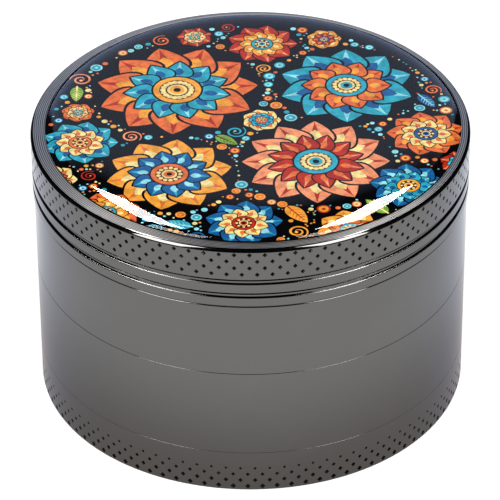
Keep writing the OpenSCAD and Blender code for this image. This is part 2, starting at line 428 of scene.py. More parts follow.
def surface(name, drift_mm, tones, grain_mm, rough, bump, spread=(0.3, 0.7), details=(3.0, 2.0),
            stretch=(1, 1, 1), flecked=False, **shader):
    """A finish whose colour drifts between two tones, and whose fine grain changes its roughness
    and stands up as bump. bump is a strength and a height in metres."""
    made, tree, mm = new_material(name)
    drift = add(tree, "TexNoise", {0: mm}, in_Scale=1 / drift_mm, in_Detail=details[0])
    share = add(tree, "MapRange", {0: drift}, in_1=spread[0], in_2=spread[1])
    along = add(tree, "VectorMath", {0: mm}, operation="MULTIPLY", in_1=stretch)
    grain = add(tree, "TexNoise", {0: along}, in_Scale=1 / grain_mm, in_Detail=details[1])
    if flecked:
        share = add(tree, "Math", {0: share, 1: grain}, operation="MULTIPLY_ADD", in_2=-0.2)
    colour = add(tree, "Mix", {0: share}, data_type="RGBA", in_6=tones[0], in_7=tones[1])
    dull = add(tree, "MapRange", {0: grain}, in_1=0.3, in_2=0.7, in_3=rough[0], in_4=rough[1])
    raised = add(tree, "Bump", {"Height": grain}, in_Strength=bump[0], in_Distance=bump[1])
    cover = add(tree, "BsdfPrincipled",
                {"Base Color": colour, "Roughness": dull, "Normal": raised}, **shader)
    add(tree, "OutputMaterial", {0: cover})
    return made


def gunmetal_polished():
    """Zinc alloy, die-cast, polished and plated gunmetal: a smooth dark mirror, a little bluer
    where it is seen at a low angle, with cloudy changes of tone in the plating."""
    finish = bpy.context.scene.grinder_finish
    # Pits of the plating are 0.05 mm; they are drawn 0.3 mm across, as coarse as they need to show.
    return surface(
        "gunmetal plated zinc, polished", 9.0,
        (shade(finish.gunmetal, 0.95), shade(finish.gunmetal, 1.05)), 0.3,
        (finish.polish * 0.8, finish.polish * 1.25), (0.05, 0.00001), flecked=True,
        in_Metallic=1.0, in_Specular_Tint=linear(finish.edge_tint),
    )


def gunmetal_turned():
    """The same plating over a face turned on a lathe: satin, and lighter than the polished walls.
    Its fine rings spread the gloss across them, into a fan. They stand up as bump, and their pale
    and dark lines are painted sheen in the colour."""
    made, tree, mm = new_material("gunmetal plated zinc, lathe turned")
    wobble = add(tree, "TexNoise", {0: mm}, in_Scale=1 / 6.0, in_Detail=1.0)
    flat = add(tree, "VectorMath", {0: mm}, operation="MULTIPLY", in_1=(1, 1, 0))
    radius = add(tree, "VectorMath", {0: flat}, operation="LENGTH")
    # One ring for each turn of the tool's feed.
    turns = add(tree, "Math", {0: radius}, operation="MULTIPLY", in_1=2 * math.pi / FEED)
    wave = add(tree, "Math", {0: turns}, operation="COSINE")
    rings_and_painted_sheen = add(tree, "MapRange", {0: wave}, in_1=-0.8, in_2=0.8)
    # Painted sheen: the colour runs from dark to pale along each ring's wave, standing in for light
    # caught by the turning marks.
    colour = add(tree, "Mix", {0: rings_and_painted_sheen}, data_type="RGBA",
                 in_6=linear("#535150"), in_7=linear("#c0bdb8"))
    rough = add(tree, "MapRange", {0: wobble}, in_1=0.3, in_2=0.7, in_3=0.27, in_4=0.3)
    bump = add(tree, "Bump", {"Height": rings_and_painted_sheen}, in_Strength=0.2, in_Distance=0.00001)
    rings = add(tree, "Tangent", direction_type="RADIAL", axis="Z")
    metal = add(tree, "BsdfPrincipled", {
        "Base Color": colour, "Roughness": rough, "Normal": bump, "Tangent": rings,
    }, in_Metallic=1.0, in_Anisotropic=0.68, in_Anisotropic_Rotation=0.25)
    add(tree, "OutputMaterial", {0: metal})
    return made


def gunmetal_cast():
    """The same plating on the unpolished insides: a satin surface with the fine orange peel of the
    die, a shade darker than the walls."""
    gunmetal = bpy.context.scene.grinder_finish.gunmetal
    return surface(
        "gunmetal plated zinc, die cast", 5.0, (shade(gunmetal, 0.84), shade(gunmetal, 1.02)),
        0.22, (0.26, 0.4), (0.25, 0.00002), details=(3.0, 3.0), in_Metallic=1.0,
    )


def gunmetal_dent_shade():
    """The same plating at the bottom of the pressed dents, painted dull and nearly black as the
    shade in the hollows, with a lighter speck here and there."""
    made, tree, mm = new_material("gunmetal plated zinc, dents with painted shade")
    specks = add(tree, "TexNoise", {0: mm}, in_Scale=1 / 0.25, in_Detail=2.0)
    lighter_specks = add(tree, "MapRange", {0: specks}, in_1=0.56, in_2=0.72)
    # Painted shade: the dents are coloured nearly black, with lighter, glossier specks at random.
    colour = add(tree, "Mix", {0: lighter_specks}, data_type="RGBA",
                 in_6=linear("#121110"), in_7=linear("#3e3c3a"))
    rough = add(tree, "MapRange", {0: lighter_specks}, in_3=0.42, in_4=0.24)
    metal = add(tree, "BsdfPrincipled", {"Base Color": colour, "Roughness": rough},
                in_Metallic=0.9)
    add(tree, "OutputMaterial", {0: metal})
    return made


def steel_woven():
    """Stainless steel wire, plain woven: wires 0.1 mm thick, 0.4 mm apart, over and under by
    turns, with open squares between them painted near black as shade."""
    made, tree, mm = new_material("stainless steel wire, woven")
    parts = add(tree, "SeparateXYZ", {0: mm})
    waves = []
    for axis in ("X", "Y"):
        turned = add(tree, "Math", {0: parts.outputs[axis]}, operation="MULTIPLY",
                     in_1=math.pi / 0.4)
        wave = add(tree, "Math", {0: turned}, operation="COSINE")
        waves.append(add(tree, "Math", {0: wave}, operation="ABSOLUTE"))
    wires = add(tree, "Math", {0: waves[0], 1: waves[1]}, operation="MAXIMUM")
    shown = add(tree, "MapRange", {0: wires}, in_1=0.72, in_2=0.86)
    tone = add(tree, "TexNoise", {0: mm}, in_Scale=1 / 1.5)
    steel = add(tree, "Mix", {0: tone}, data_type="RGBA",
                in_6=linear("#8f9192"), in_7=linear("#c4c6c7"))
    # Painted shade: the open squares take a near-black colour for the dark seen through the screen.
    colour = add(tree, "Mix", {0: shown, 7: steel}, data_type="RGBA",
                 in_6=linear("#141414"))
    rough = add(tree, "MapRange", {0: tone}, in_1=0.3, in_2=0.7, in_3=0.24, in_4=0.36)
    bump = add(tree, "Bump", {"Height": wires}, in_Strength=0.8, in_Distance=0.00006)
    metal = add(tree, "BsdfPrincipled", {"Base Color": colour, "Roughness": rough,
                "Normal": bump}, in_Metallic=1.0)
    add(tree, "OutputMaterial", {0: metal})
    return made


def nickel_plated():
    """Neodymium magnet, ground and nickel plated: a bright, slightly yellow mirror with faint
    grinding marks."""
    return surface(
        "neodymium magnet, nickel plated", 2.5, (linear("#b9b6ae"), linear("#d8d6cf")), 1.2,
        (0.14, 0.24), (0.12, 0.00001), spread=(0, 1), stretch=(1, 12, 1), in_Metallic=1.0,
    )


def nylon_moulded():
    """Nylon, injection moulded: milky, waxy white that lets a little light in, with a fine
    satin grain."""
    return surface(
        "nylon, injection moulded", 3.0, (linear("#dedbd0"), linear("#ece9e1")), 0.18,
        (0.38, 0.5), (0.15, 0.00001), spread=(0, 1), details=(2.0, 2.0),
        in_IOR=1.53, in_Subsurface_Weight=0.15, in_Subsurface_Scale=0.0008,
    )


def ink(name, code):
    """Ink jet print on white vinyl film: strong colour that shifts in tone across each shape, as
    if drawn by hand, over the finest grain of the printed dots."""
    made, tree, mm = new_material(name + " ink, ink jet printed")
    tone = add(tree, "TexNoise", {0: mm}, in_Scale=1 / 1.1, in_Detail=3.0, in_Roughness=0.6)
    # Printed dots are 0.04 mm; they are drawn 0.12 mm across, as coarse as they need to show.
    dots = add(tree, "TexNoise", {0: mm}, in_Scale=1 / 0.12, in_Detail=1.0)
    mixed = add(tree, "Math", {0: dots, 2: tone}, operation="MULTIPLY_ADD", in_1=0.2)
    wash = add(tree, "MapRange", {0: mixed}, in_1=0.46, in_2=0.74)
    colour = add(tree, "Mix", {0: wash}, data_type="RGBA",
                 in_6=shade(code, 0.72), in_7=shade(code, 1.12))
    rough = add(tree, "MapRange", {0: dots}, in_3=0.5, in_4=0.6)
    printed = add(tree, "BsdfPrincipled", {"Base Color": colour, "Roughness": rough},
                  in_IOR=1.45, in_Specular_IOR_Level=0.0)
    add(tree, "OutputMaterial", {0: printed})
    return made


def resin_poured():
    """Polyurethane doming resin, poured and cured: water clear, so it shows only by what its
    glassy surface mirrors, faint from above and strong at a low angle."""
    finish = bpy.context.scene.grinder_finish
    made, tree, mm = new_material("polyurethane doming resin, poured")
    wave = add(tree, "TexNoise", {0: mm}, in_Scale=1 / 9.0, in_Detail=1.0)
    bump = add(tree, "Bump", {"Height": wave}, in_Strength=0.1, in_Distance=0.00002)
    tint = add(tree, "Mix", {0: wave}, data_type="RGBA",
               in_6=linear("#fbfcff"), in_7=linear("#ffffff"))
    rough = add(tree, "MapRange", {0: wave}, in_3=0.005, in_4=0.02)
    clear = add(tree, "BsdfTransparent", {"Color": tint})
    gloss = add(tree, "BsdfGlossy", {"Roughness": rough, "Normal": bump},
                distribution="MULTI_GGX")
    share = add(tree, "Fresnel", {"Normal": bump}, in_IOR=finish.resin_ior)
    # Only the outside of the dome is glossy: light on its way out passes straight through.
    side = add(tree, "NewGeometry").outputs["Backfacing"]
    front = add(tree, "Math", {1: side}, operation="SUBTRACT", in_0=1.0)
    outer = add(tree, "Math", {0: share, 1: front}, operation="MULTIPLY")
    both = add(tree, "MixShader", {0: outer, 1: clear, 2: gloss})
    add(tree, "OutputMaterial", {0: both})
    return made


made_finishes = {}


def finish_of(maker):
    """Each finish is made once and shared."""
    if maker not in made_finishes:
        made_finishes[maker] = maker()
    return made_finishes[maker]


# ----------------------------------------
# The metal sections
# ----------------------------------------

METAL = (gunmetal_polished, gunmetal_turned, gunmetal_cast, gunmetal_dent_shade)


def set_in(made, body, node):
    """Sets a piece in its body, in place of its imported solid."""
    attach(made, body)
    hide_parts(node)


def metal_piece(sheet, name, body, node):
    """Makes a metal section and sets it in place."""
    made = sheet.make(name, [finish_of(maker) for maker in METAL])
    set_in(made, body, node)


def spigot(sheet, walls, low, shelf, wall_r):
    """A threaded spigot, from its bore to the foot of the wall over it."""
    lead = 0.4
    turn(sheet, profile([(SPIGOT_BORE, shelf), (SPIGOT_BORE, low), (SPIGOT_R - lead, low),
                         (SPIGOT_R, low + lead)], CAST))
    thread(sheet, walls, SPIGOT_R, low + lead, shelf, True, 0.3, 0.6)
    turn(sheet, profile([(SPIGOT_R, shelf), (wall_r, shelf)], CAST))


def socket(sheet, walls, wall, high, edge):
    """A threaded socket, from the foot of the wall round it over its rounded top and down."""
    lead = 0.3
    turn(sheet, profile([*wall, (wall[-1][0], high, edge), (SOCKET_R + lead, high)]))
    turn(sheet, profile([(SOCKET_R + lead, high), (SOCKET_R, high - lead)], CAST))
    thread(sheet, walls, SOCKET_R, high - SOCKET_H, high - lead, False, 0.5, 0.3)


class GRINDER_OT_lid(bpy.types.Operator):
    """Builds the lid: dented skirt with two grip grooves, turned rim, post and magnet pocket"""
    bl_idname = "grinder.lid"
    bl_label = "Lid"

    def execute(self, context):
        walls = context.scene.grinder_walls
        radius, low, high = box_mm("lid_shell")
        skirt_r, plate_z, rim_r = radius - 1.95, high - 3.0, 29.4
        edge, seam = walls.edge_break / MM, walls.seam_break / MM
        lower, upper, band_low = low + 1.55, low + 3.8, high - 4.7
        groove_h, root, root_h, lip = 0.8, radius - 0.27, 0.37, 0.15
        bevel = arc(0, 0, walls.lid_crown / MM, 20, 58)
        out, up = radius - bevel[0][0], high - walls.lid_fall / MM - bevel[-1][1]
        bevel = [(r + out, z + up) for r, z in bevel]
        magnet_r, post_z, pocket_z = box_mm("lid_magnet")
        pocket_r, soft, chamfer = magnet_r + POCKET_GAP, 0.2, 0.15
        sheet = Sheet(FRONT - math.radians(0.43))

        # Underside, from the pocket outwards and down the skirt, then up the outside.
        turn(sheet, profile([
            (0, pocket_z), (pocket_r, pocket_z), (pocket_r, post_z + chamfer),
            (pocket_r + chamfer, post_z), (POST_R, post_z, soft), (POST_R, plate_z),
            (skirt_r, plate_z), (skirt_r, low + edge),
        ], CAST))
        outside = [(skirt_r, low + edge), (skirt_r + edge, low), (radius, low, seam, 6)]
        for foot in (lower, upper):
            outside += [(radius, foot, lip, 6), (root, foot), (root, foot + root_h),
                        (radius, foot + groove_h)]
        turn(sheet, profile([*outside, (radius, band_low)]))
        rows = [(walls.lid_dents_z / MM - walls.dent_row / MM * i, walls.dent_w / MM,
                 walls.dent_h / MM, 0.5 * (i % 2)) for i in range(4)]
        dent_band(sheet, radius, band_low, bevel[0][1], rows, walls.dent_depth / MM)
        turn(sheet, [(bevel, POLISHED)])
        turn(sheet, profile([bevel[-1], (rim_r, high), (15, high), (0, high)], TURNED))
        metal_piece(sheet, "lid_body", "lid", "lid_shell")
        return {"FINISHED"}


class GRINDER_OT_chamber(bpy.types.Operator):
    """Builds the grinding chamber: collar, shoulder, drop-hole floor, hub and threaded spigot"""
    bl_idname = "grinder.chamber"
    bl_label = "Grinding chamber"

    def execute(self, context):
        walls = context.scene.grinder_walls
        radius, low, high = box_mm("grinding_chamber")
        shelf = box_mm("sieve_section")[2]
        shoulder = box_mm("lid_shell")[1] - LID_GAP
        edge, seam, joint = walls.edge_break / MM, walls.seam_break / MM, walls.joint_break / MM
        collar_r, floor_z = box_mm("friction_ring")[0] + edge, shelf + 2.6
        magnet_r, magnet_low, hub_z = box_mm("chamber_magnet")
        pocket_r, soft, chamfer = magnet_r + POCKET_GAP, 0.2, 0.15
        holes = [(14.2, i * 30) for i in range(12)] + [(22.6, i * 20) for i in range(18)]
        holes = [(r * math.cos(math.radians(a)), r * math.sin(math.radians(a))) for r, a in holes]
        hole_r, bevel = 1.8, 0.25
        sheet = Sheet(FRONT)

        plate(sheet, shelf, 0, SPIGOT_BORE, 0, holes, hole_r, False)
        spigot(sheet, walls, low, shelf, radius - joint)
        turn(sheet, profile([(radius - joint, shelf), (radius, shelf, joint),
                             (radius, shoulder, seam, 6), (collar_r, shoulder)]))
        turn(sheet, profile([(collar_r, shoulder), (collar_r, high, edge),
                             (COLLAR_BORE, high, soft), (COLLAR_BORE, floor_z)], CAST))
        plate(sheet, floor_z, POST_R, COLLAR_BORE, HUB_SEGMENTS, holes, hole_r + bevel, True)
        turn(sheet, profile([
            (POST_R, floor_z), (POST_R, hub_z, 0.3, 5), (pocket_r + chamfer, hub_z),
            (pocket_r, hub_z - chamfer), (pocket_r, magnet_low), (0, magnet_low),
        ], CAST), HUB_SEGMENTS)
        drilled = profile([(hole_r + bevel, floor_z), (hole_r, floor_z - bevel), (hole_r, shelf)],
                          CAST)
        for place in holes:
            turn(sheet, drilled, 32, place)
        metal_piece(sheet, "chamber_body", "chamber", "grinding_chamber")
        return {"FINISHED"}


class GRINDER_OT_sieve(bpy.types.Operator):
    """Builds the sieve section: threaded spigot, screen ledge, funnel and threaded socket"""
    bl_idname = "grinder.sieve"
    bl_label = "Sieve section"

    def execute(self, context):
        walls = context.scene.grinder_walls
        radius, low, high = box_mm("sieve_section")
        shelf = box_mm("kief_tray")[2]
        joint = walls.joint_break / MM
        foot, socket_z = joint * TRAY_SEAM, high - SOCKET_H
        ledge_z, bore_r, slope_z = shelf + 1.2, 27.1, shelf + 2.4
        sheet = Sheet(FRONT)
        turn(sheet, profile([(LEDGE_R, ledge_z), (LEDGE_R, shelf), (SPIGOT_BORE, shelf)], CAST))
        spigot(sheet, walls, low, shelf, radius - foot)
        socket(sheet, walls, [(radius - foot, shelf), (radius, shelf, foot)], high, joint)
        turn(sheet, profile([(SOCKET_R, socket_z), (bore_r, socket_z), (bore_r, slope_z),
                             (LEDGE_R, ledge_z)], CAST))
        metal_piece(sheet, "sieve_body", "sieve", "sieve_section")
        return {"FINISHED"}


class GRINDER_OT_tray(bpy.types.Operator):
    """Builds the kief tray: graded rows of dents round its foot, rounded bowl, threaded socket"""
    bl_idname = "grinder.tray"
    bl_label = "Kief tray"

    def execute(self, context):
        walls = context.scene.grinder_walls
        radius, low, high = box_mm("kief_tray")
        joint = walls.joint_break / MM * TRAY_SEAM
        floor_z, fillet, foot, band_high = 1.4, 0.7, 0.2, low + 4.4
        gap, first = walls.dent_row / MM * 0.99, walls.tray_dents_z / MM
        rows = [(first + gap * i, size, size * 1.06, 0.5 * (i % 2))
                for i, size in enumerate((0.84, 0.73, 0.62, 0.49))]
        sheet = Sheet(FRONT - math.radians(1.21))
        turn(sheet, profile([(0, low), (15, low), (28, low), (radius - foot, low)], TURNED))
        turn(sheet, profile([(radius - foot, low), (radius, low, foot, 6), (radius, low + foot)]))
        dent_band(sheet, radius, low + foot, band_high, rows, walls.dent_depth / MM)
        socket(sheet, walls, [(radius, band_high)], high, joint)
        turn(sheet, profile([(SOCKET_R, high - SOCKET_H), (SOCKET_R, floor_z, fillet, 6),
                             (20, floor_z), (10, floor_z), (0, floor_z)], CAST))
        metal_piece(sheet, "tray_body", "tray", "kief_tray")
        return {"FINISHED"}


# ----------------------------------------
# Teeth, magnets, ring and screen
# ----------------------------------------

class GRINDER_OT_teeth(bpy.types.Operator):
    """Rounds the edges of the four rings of diamond teeth, as a casting has them"""
    bl_idname = "grinder.teeth"
    bl_label = "Diamond teeth"

    def execute(self, context):
        for body in ("chamber", "lid"):
            for ring in ("inner", "outer"):
                node = f"{body}_teeth_{ring}"
                made = self.softened(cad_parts[node].data.copy(), node + "_cast", 0.12)
                set_in(made, body, node)
        return {"FINISHED"}

    def softened(self, mesh, name, width):
        """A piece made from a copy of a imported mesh, with its edges rounded."""
        made = linked(name, mesh)
        weld = made.modifiers.new("weld", "WELD")
        weld.merge_threshold = 2e-6
        bevel = made.modifiers.new("bevel", "BEVEL")
        bevel.width, bevel.segments, bevel.limit_method = width * MM, 2, "ANGLE"
        bevel.angle_limit = math.radians(25)
        bevel.harden_normals = True
        shown = made.evaluated_get(bpy.context.evaluated_depsgraph_get())
        made.data = bpy.data.meshes.new_from_object(shown)
        made.modifiers.clear()
        made.data.name = name
        made.data.materials.clear()
        made.data.materials.append(finish_of(gunmetal_cast))
        return made


class GRINDER_OT_fittings(bpy.types.Operator):
    """Builds the magnets, the nylon ring and the screen's ring, and finishes the screen"""
    bl_idname = "grinder.fittings"
    bl_label = "Magnets, ring and screen"

    def execute(self, context):
        self.ring("chamber_magnet_disc", "chamber_magnet", "hub_magnet", "nickel_magnet",
                  nickel_plated, 0.0, 0.15, HUB_SEGMENTS)
        self.ring("lid_magnet_disc", "lid_magnet", "lid", "nickel_magnet",
                  nickel_plated, 0.0, 0.15, HUB_SEGMENTS)
        self.ring("glide_ring_nylon", "friction_ring", "glide_ring", "nylon",
                  nylon_moulded, COLLAR_BORE, 0.12, SEGMENTS)
        self.ring("screen_ring_turned", "screen_ring", "screen_clamp", "gunmetal_plating",
                  gunmetal_turned, LEDGE_R, 0.1, SEGMENTS)
        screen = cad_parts["sieve_screen"]
        screen.data.materials.clear()
        screen.data.materials.append(finish_of(steel_woven))
        return {"FINISHED"}

    def ring(self, name, node, body, slot, finish, inner, edge, segments):
        """A disc, or a ring with a bore, with rounded edges."""
        outer, low, high = box_mm(node)
        sheet, start = Sheet(FRONT), (inner + edge if inner else 0, low)
        corners = [start, (outer, low, edge), (outer, high, edge)]
        corners += [(inner, high, edge), (inner, low, edge), start] if inner else [(0, high)]
        turn(sheet, profile(corners), segments)
        set_in(sheet.make(name, [finish_of(finish)]), body, node)


# ----------------------------------------
# The badge: its printed disc and its resin dome
# ----------------------------------------

INKS = ("black", "orange", "red", "amber", "cream", "teal", "sky", "blue", "green", "maroon",
        "peach")


class Drawing:
    """Closed shapes in the order they are laid down, each with its ink. The last one wins."""

    def __init__(self):
        self.shapes, self.inks, self.taken = [], [], []

    def lay(self, points, ink_name):
        self.shapes.append(points)
        self.inks.append(INKS.index(ink_name))

    def disc(self, x, y, r, ink_name, count=0):
        count = count or max(10, min(40, int(r * 14)))
        self.lay([(x + r * math.cos(2 * math.pi * i / count),
                   y + r * math.sin(2 * math.pi * i / count)) for i in range(count)], ink_name)

    def free(self, x, y, r, gap=0.3):
        return all(math.hypot(x - a, y - b) > r + c + gap for a, b, c in self.taken)

    def take(self, x, y, r):
        self.taken.append((x, y, r))


def petal(x, y, angle, start, end, width, blunt=0.6, steps=9):
    """A petal's outline, pointing away from (x, y)."""
    side = []
    for i in range(steps + 1):
        t = i / steps
        half = width / 2 * math.sin(math.pi * t ** blunt) ** 0.8 if 0 < t < 1 else 0.0
        side.append((start + (end - start) * t, half))
    loop = side + [(u, -v) for u, v in side[-2:0:-1]]
    c, s = math.cos(angle), math.sin(angle)
    return [(x + u * c - v * s, y + u * s + v * c) for u, v in loop]


def stroke(points, widths):
    """The outline of a brush stroke along points, with a half width at each."""
    left, right = [], []
    for i, ((x, y), w) in enumerate(zip(points, widths)):
        a, b = points[max(i - 1, 0)], points[min(i + 1, len(points) - 1)]
        dx, dy = b[0] - a[0], b[1] - a[1]
        n = math.hypot(dx, dy) or 1.0
        left.append((x - dy / n * w, y + dx / n * w))
        right.append((x + dy / n * w, y - dx / n * w))
    return left + right[::-1]


def bloom(art, x, y, r, count, turned, outer, inner, heart):
    """A flower with two rows of striped petals and a beaded heart, its sizes drawn as shares of
    its radius. outer and inner are each a petal's ink, its stripes' ink and its middle's ink."""
    art.take(x, y, r)
    for ring, (far, near, wide, (fill, stripe, middle)) in enumerate((
        (r, r * 0.36, 1.5, outer), (r * 0.66, r * 0.24, 1.35, inner),
    )):
        width = far * 1.44 * math.tan(math.pi / count) * wide
        for i in range(count):
            a = turned + (i + 0.5 * ring) * 2 * math.pi / count
            art.lay(petal(x, y, a, near, far, width), "black")
            skin = max(0.12, 0.022 * r)
            art.lay(petal(x, y, a, near + skin, far - skin * 1.6, width * 0.88), fill)
            for side in ((-0.27, -0.14, 0, 0.14, 0.27) if r > 7 else (-0.18, 0, 0.18)):
                tip = near + (far - near) * (0.94 - 1.1 * abs(side))
                art.lay(petal(x, y, a + side * 1.7 / count, near + 0.1 * r, tip, width * 0.085,
                              0.8, 5), stripe)
            art.lay(petal(x, y, a, near + 0.08 * r, near + (far - near) * 0.62, width * 0.3,
                          0.9, 6), middle)
    art.disc(x, y, r * 0.31, "black")
    art.disc(x, y, r * 0.285, heart)
    art.disc(x, y, r * 0.215, "maroon")
    beads = max(8, int(r * 1.5))
    for i in range(beads):
        a = 2 * math.pi * i / beads
        art.disc(x + r * 0.17 * math.cos(a), y + r * 0.17 * math.sin(a), r * 0.036, "cream", 8)
    art.disc(x, y, r * 0.12, "cream")
    art.disc(x, y, r * 0.09, heart)
    art.disc(x, y, r * 0.045, "black", 10)


def leaf(art, x, y, angle, size, fill, vein):
    """A pointed leaf with a midrib and side veins."""
    c, s = math.cos(angle), math.sin(angle)
    for t in (0.28, 0.52, 0.76):
        art.take(x + c * size * t, y + s * size * t, size * 0.2)
    art.lay(petal(x, y, angle, 0, size, size * 0.52, 0.75), "black")
    art.lay(petal(x, y, angle, 0.04 * size, 0.96 * size, size * 0.44, 0.75), fill)
    for i in range(1, 6):
        along = size * (0.12 + 0.13 * i)
        reach = size * 0.17 * math.sin(math.pi * (0.15 + 0.14 * i))
        for side in (-1, 1):
            points = [(along, 0), (along + reach * 0.9, side * reach)]
            points = [(x + u * c - v * s, y + u * s + v * c) for u, v in points]
            art.lay(stroke(points, [0.07, 0.03]), vein)
    spine = [(x + c * size * t, y + s * size * t) for t in (0.0, 0.45, 0.9)]
    art.lay(stroke(spine, [0.14, 0.1, 0.04]), vein)


def curl(art, x, y, r, turns, start, hand, fill):
    """A tendril that winds in to a bead."""
    art.take(x, y, r)
    count = int(turns * 16)
    points, widths = [], []
    for i in range(count + 1):
        t = i / count
        a = start + hand * turns * 2 * math.pi * t
        reach = r * (1 - 0.86 * t)
        points.append((x + reach * math.cos(a), y + reach * math.sin(a)))
        widths.append(r * (0.03 + 0.075 * math.sin(math.pi * min(1, t * 1.1 + 0.06))))
    art.lay(stroke(points, [w + 0.09 for w in widths]), "black")
    art.lay(stroke(points, widths), fill)
    art.disc(points[-1][0], points[-1][1], r * 0.17, fill)
    art.disc(points[-1][0], points[-1][1], r * 0.08, "cream", 8)


def bead(art, x, y, r, fill, ring):
    """A dot, with a ring and a middle where it is big enough."""
    art.take(x, y, r)
    if r > 0.55:
        art.disc(x, y, r, ring)
        art.disc(x, y, r * 0.74, fill)
        art.disc(x, y, r * 0.3, ring, 8)
    else:
        art.disc(x, y, r, fill)


def compose(radius, seed):
    """A generic garden of blooms, leaves, tendrils and beads on a dark ground. It runs over the
    disc's edge, where it is cut off."""
    art = Drawing()
    dice = random.Random(seed)
    fire, sea = ("orange", "red", "amber"), ("teal", "sky", "blue")
    sun, dusk = ("amber", "orange", "cream"), ("blue", "teal", "sky")
    clay = ("peach", "red", "cream")
    sand, rose = ("cream", "amber", "orange"), ("red", "peach", "orange")
    blooms = [
        (-11.0, 8.8, 12.2, 11, 0.1, fire, sea, "amber"),
        (13.6, 9.8, 10.2, 10, 0.3, sea, fire, "teal"),
        (8.8, -10.2, 10.8, 12, 0.0, clay, rose, "teal"),
        (-11.8, -13.2, 9.2, 10, 0.2, sun, dusk, "orange"),
        (-24.6, -5.0, 5.6, 9, 0.0, sea, sand, "orange"),
        (24.6, -3.2, 5.8, 9, 0.3, fire, sand, "blue"),
        (1.4, 21.4, 5.4, 9, 0.0, rose, sun, "teal"),
        (21.6, -16.4, 5.6, 9, 0.2, dusk, sea, "amber"),
        (-1.4, -25.4, 5.6, 9, 0.1, dusk, sand, "red"),
        (-20.4, -22.6, 5.0, 8, 0.3, fire, sun, "teal"),
        (-28.4, -14.4, 4.0, 8, 0.0, sand, rose, "blue"),
        (13.2, -27.0, 4.8, 8, 0.2, sun, fire, "teal"),
        (29.2, -10.8, 3.2, 7, 0.1, rose, sea, "amber"),
        (-25.2, 2.9, 2.6, 7, 0.2, fire, sand, "teal"),
        (1.2, 0.6, 3.0, 7, 0.0, sand, sea, "orange"),
        (-8.6, 23.4, 2.8, 7, 0.4, rose, sand, "teal"),
        (10.6, 22.6, 2.8, 7, 0.1, sun, rose, "blue"),
    ]
    for x, y, r, *_ in blooms:
        art.take(x, y, r)
    fills = (("green", "cream"), ("teal", "sky"), ("green", "maroon"), ("amber", "red"),
             ("blue", "sky"))
    reach = radius + 0.2

    def inside(x, y, r=0.0):
        """Whether a motif keeps clear of the ground's plain border, which is widest at the back."""
        return math.hypot(x, y) + r < radius - max(0.0, 0.1 * (y + 8.0))

    colours = ("orange", "red", "teal", "amber", "peach", "blue")
    pairs = (("sky", "teal"), ("orange", "amber"), ("teal", "sky"), ("amber", "red"),
             ("sky", "blue"), ("cream", "orange"))

    def try_leaf(x, y, size, placed):
        lean = dice.uniform(0, 2 * math.pi)
        spots = [(x + math.cos(lean) * size * t, y + math.sin(lean) * size * t)
                 for t in (0.2, 0.5, 0.8)]
        fits = all(art.free(u, v, size * 0.18, 0.15) and inside(u, v, size * 0.1)
                   for u, v in spots)
        if fits:
            leaf(art, x, y, lean, size, *fills[placed % len(fills)])
        return fits

    def try_curl(x, y, r, placed):
        fits = art.free(x, y, r, 0.15) and inside(x, y)
        if fits:
            curl(art, x, y, r, dice.uniform(1.3, 1.9), dice.uniform(0, 6.3),
                 dice.choice((-1, 1)), colours[placed % len(colours)])
        return fits

    def try_bead(x, y, r, placed):
        fits = art.free(x, y, r, 0.12) and inside(x, y)
        if fits:
            bead(art, x, y, r, *dice.choice(pairs))
        return fits

    for attempt, low, high, count, tries in (
        (try_leaf, 4.2, 6.6, 17, 900), (try_curl, 1.9, 2.8, 16, 2500),
        (try_curl, 1.2, 1.8, 26, 2500), (try_bead, 0.6, 1.0, 90, 7000),
        (try_bead, 0.3, 0.5, 150, 7000), (try_bead, 0.12, 0.22, 170, 7000),
    ):
        placed = 0
        for _ in range(tries):
            a, d = dice.uniform(0, 2 * math.pi), reach * math.sqrt(dice.random())
            placed += attempt(d * math.cos(a), d * math.sin(a), dice.uniform(low, high), placed)
            if placed == count:
                break
    for given in blooms:
        bloom(art, *given)
    return art


class GRINDER_OT_print(bpy.types.Operator):
    """Builds the printed disc: a generic pattern of blooms, leaves, tendrils and beads"""
    bl_idname = "grinder.print"
    bl_label = "Printed disc"

    def execute(self, context):
        badge = context.scene.grinder_badge
        radius, low, high = box_mm("badge_print")
        radius -= badge.trim / MM
        centre = sum(c.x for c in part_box("badge_print")) / 2 / MM - badge.trim / MM
        art = Drawing()
        art.disc(0, 0, radius, "black", 240)
        drawn = compose(radius, badge.seed)
        inks = art.inks + drawn.inks
        points, faces = [], []
        for shape in art.shapes + drawn.shapes:
            area = sum(a[0] * b[1] - b[0] * a[1] for a, b in zip(shape, shape[1:] + shape[:1]))
            faces.append(list(range(len(points), len(points) + len(shape))))
            points += shape if area > 0 else shape[::-1]
        flat, triangles, holders = cut(points, [], faces, 1e-4, 1e-8)
        # Only what lies on the disc is kept. The last shape laid down gives each triangle its ink.
        on_disc = [(t, inks[max(held)]) for t, held in zip(triangles, holders) if 0 in held]
        kept, triangles = np.unique(np.array([t for t, _ in on_disc]), return_inverse=True)
        flat, triangles = flat[kept], triangles.reshape(-1, 3).tolist()
        sheet = Sheet()
        place = np.column_stack([flat[:, 0] + centre, flat[:, 1], np.full(len(flat), high)])
        sheet.add(place, triangles, [(0, 0, 1)] * (3 * len(triangles)), [i for _, i in on_disc])
        turn(sheet, profile([(0, low), (radius, low), (radius, high)]), 240, (centre, 0.0))
        codes = {"black": "#07070a", "amber": "#f2a33c", "sky": "#93dce6", "maroon": "#571510",
                 "peach": "#f0966a"}
        made = sheet.make("badge_print_art",
                          [ink(name, codes.get(name) or getattr(badge, name)) for name in INKS])
        set_in(made, "lid", "badge_print")
        return {"FINISHED"}


